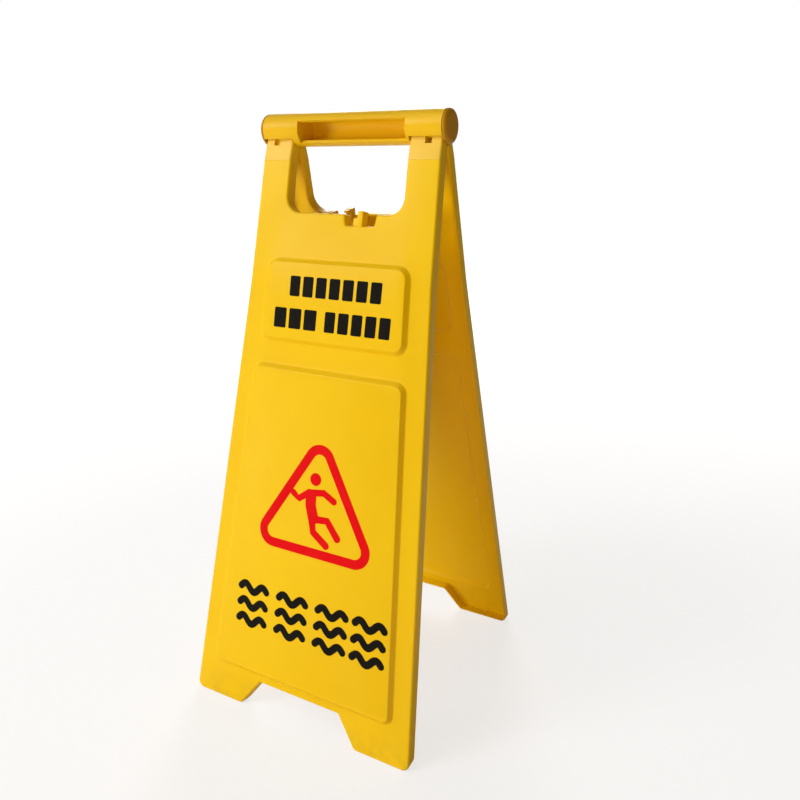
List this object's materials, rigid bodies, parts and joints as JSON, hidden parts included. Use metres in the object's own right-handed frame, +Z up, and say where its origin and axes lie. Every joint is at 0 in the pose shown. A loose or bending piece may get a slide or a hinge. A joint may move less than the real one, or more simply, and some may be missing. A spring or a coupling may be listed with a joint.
{
  "type": "wet floor sign",
  "caption": "Folding A-frame floor sign: two flanged plastic panels with feet, hinged under a round carrying handle with an open-fronted channel.",
  "frame": {"origin": "on the floor, midway between the four feet, below the hinge axis", "axes": "+Z up, +X along the handle to the right as seen from the front, front panel faces -Y"},
  "size_m": [0.2788, 0.2988, 0.636],
  "materials": {
    "yellow_plastic": "semi-gloss moulded polypropylene, fine moulding texture",
    "handle_plastic": "semi-gloss moulded polypropylene",
    "pin_steel": "bright drawn"
  },
  "bodies": {
    "handle": {"handle_barrel": "handle_plastic", "end_cap_left": "handle_plastic", "end_cap_right": "handle_plastic", "hinge_pin_left": "pin_steel", "hinge_pin_right": "pin_steel"},
    "front": {"front_panel": "yellow_plastic"},
    "rear": {"rear_panel": "yellow_plastic"}
  },
  "joints": [
    {"name": "front_fold", "type": "hinge", "parent": "handle", "child": "front", "pos_m": [0, 0, 0.6059], "axis": [1, 0, 0], "range_deg": [0, 12.6]},
    {"name": "rear_fold", "type": "hinge", "parent": "handle", "child": "rear", "pos_m": [0, 0, 0.6059], "axis": [-1, 0, 0], "range_deg": [0, 12.6]}
  ]
}
